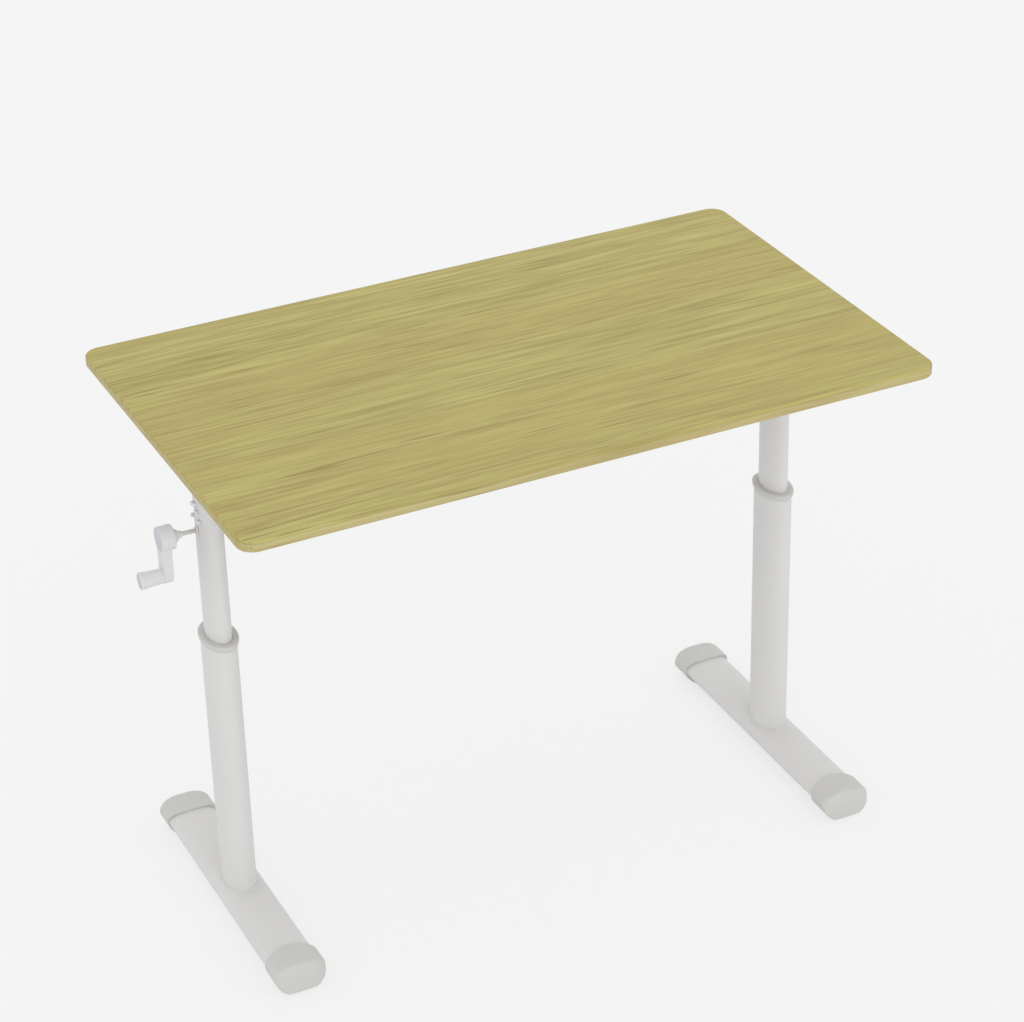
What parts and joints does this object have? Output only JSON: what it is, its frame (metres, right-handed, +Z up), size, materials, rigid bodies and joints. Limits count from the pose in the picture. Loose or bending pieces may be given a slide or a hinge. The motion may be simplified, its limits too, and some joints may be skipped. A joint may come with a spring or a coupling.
{
  "type": "crank height-adjustable desk",
  "caption": "Rectangular desk on telescopic oval legs and flat oval feet; a side crank turns a cross shaft whose bevel gears raise both legs together.",
  "frame": {"origin": "middle of the overall width (crank included) and of the top's depth, on the floor", "axes": "+X along the desk's width, away from the crank; +Y from the front to the back; +Z up"},
  "size_m": [1.0376, 0.6, 0.768],
  "materials": {
    "worktop": "pale oak-look board, fine straight grain along the width, satin",
    "frame_paint": "warm grey-white powder coat, satin",
    "trim_plastic": "grey-green moulded plastic, matt",
    "crank_plastic": "off-white moulded plastic, satin",
    "crank_cap_plastic": "pale bluish-grey moulded plastic, satin",
    "steel": "bright drawn steel",
    "zinc_steel": "zinc plated",
    "gearbox_metal": "as cast",
    "nylon": "natural nylon",
    "bush_nylon": "pale grey nylon",
    "glide_rubber": "matt dark rubber on a steel stud"
  },
  "bodies": {
    "left_base": {"left_foot_tube": "frame_paint", "left_front_foot_cap": "trim_plastic", "left_rear_foot_cap": "trim_plastic", "left_front_foot_bolt": "steel", "left_rear_foot_bolt": "steel", "left_outer_column": "frame_paint", "left_collar": "trim_plastic", "left_screw_tube": "zinc_steel", "left_screw_nut": "nylon"},
    "right_base": {"right_foot_tube": "frame_paint", "right_front_foot_cap": "trim_plastic", "right_rear_foot_cap": "trim_plastic", "right_front_foot_bolt": "steel", "right_rear_foot_bolt": "steel", "right_outer_column": "frame_paint", "right_collar": "trim_plastic", "right_screw_tube": "zinc_steel", "right_screw_nut": "nylon"},
    "top_frame": {"desktop": "worktop", "front_crossbeam": "frame_paint", "rear_crossbeam": "frame_paint", "left_inner_column": "frame_paint", "left_slide_bush": "nylon", "left_gearbox_base": "gearbox_metal", "left_gearbox_cover": "gearbox_metal", "left_support_arm": "frame_paint", "left_gearbox_screw_1": "zinc_steel", "left_gearbox_screw_2": "zinc_steel", "left_gearbox_screw_3": "zinc_steel", "left_gearbox_screw_4": "zinc_steel", "right_inner_column": "frame_paint", "right_slide_bush": "nylon", "right_gearbox_base": "gearbox_metal", "right_gearbox_cover": "gearbox_metal", "right_support_arm": "frame_paint", "right_gearbox_screw_1": "zinc_steel", "right_gearbox_screw_2": "zinc_steel", "right_gearbox_screw_3": "zinc_steel", "right_gearbox_screw_4": "zinc_steel", "left_outer_shaft_bush": "bush_nylon", "left_inner_shaft_bush": "bush_nylon", "right_inner_shaft_bush": "bush_nylon"},
    "crank": {"cross_shaft": "steel", "crank_hub": "crank_plastic", "crank_arm": "crank_plastic", "crank_face_cap": "crank_cap_plastic", "grip_pin": "steel", "left_shaft_gear": "steel", "right_shaft_gear": "steel"},
    "grip": {"crank_grip": "crank_plastic", "grip_end_cap": "crank_cap_plastic"},
    "left_screw": {"left_lead_screw": "steel", "left_screw_gear": "steel"},
    "right_screw": {"right_lead_screw": "steel", "right_screw_gear": "steel"},
    "left_front_glide_foot": {"left_front_glide": "glide_rubber"},
    "left_rear_glide_foot": {"left_rear_glide": "glide_rubber"},
    "right_front_glide_foot": {"right_front_glide": "glide_rubber"},
    "right_rear_glide_foot": {"right_rear_glide": "glide_rubber"}
  },
  "joints": [
    {"name": "left_leg_lift", "type": "slide", "parent": "left_base", "child": "top_frame", "axis": [0, 0, 1], "range_m": [-0.14, 0.16]},
    {"name": "right_leg_lift", "type": "slide", "parent": "top_frame", "child": "right_base", "axis": [0, 0, -1], "range_m": [-0.14, 0.16]},
    {"name": "crank_turn", "type": "hinge", "parent": "top_frame", "child": "crank", "pos_m": [-0.41525, 0.013, 0.617], "axis": [1, 0, 0], "range_deg": [-12600, 14400]},
    {"name": "grip_spin", "type": "hinge", "parent": "crank", "child": "grip", "pos_m": [-0.50125, 0.013, 0.5615], "axis": [1, 0, 0], "continuous": true},
    {"name": "left_screw_turn", "type": "hinge", "parent": "top_frame", "child": "left_screw", "pos_m": [-0.41525, 0.013, 0.4], "axis": [0, 0, 1], "range_deg": [-12600, 14400]},
    {"name": "right_screw_turn", "type": "hinge", "parent": "top_frame", "child": "right_screw", "pos_m": [0.45275, 0.013, 0.4], "axis": [0, 0, 1], "range_deg": [-12600, 14400]},
    {"name": "left_front_glide_level", "type": "slide", "parent": "left_base", "child": "left_front_glide_foot", "axis": [0, 0, -1], "range_m": [0, 0.006]},
    {"name": "left_rear_glide_level", "type": "slide", "parent": "left_base", "child": "left_rear_glide_foot", "axis": [0, 0, -1], "range_m": [0, 0.006]},
    {"name": "right_front_glide_level", "type": "slide", "parent": "right_base", "child": "right_front_glide_foot", "axis": [0, 0, -1], "range_m": [0, 0.006]},
    {"name": "right_rear_glide_level", "type": "slide", "parent": "right_base", "child": "right_rear_glide_foot", "axis": [0, 0, -1], "range_m": [0, 0.006]}
  ],
  "couplings": [
    {"joint": "right_leg_lift", "follows": "left_leg_lift", "ratio": 1},
    {"joint": "crank_turn", "follows": "left_leg_lift", "rad_per_m": 1570.8},
    {"joint": "left_screw_turn", "follows": "left_leg_lift", "rad_per_m": 1570.8},
    {"joint": "right_screw_turn", "follows": "left_leg_lift", "rad_per_m": 1570.8}
  ]
}
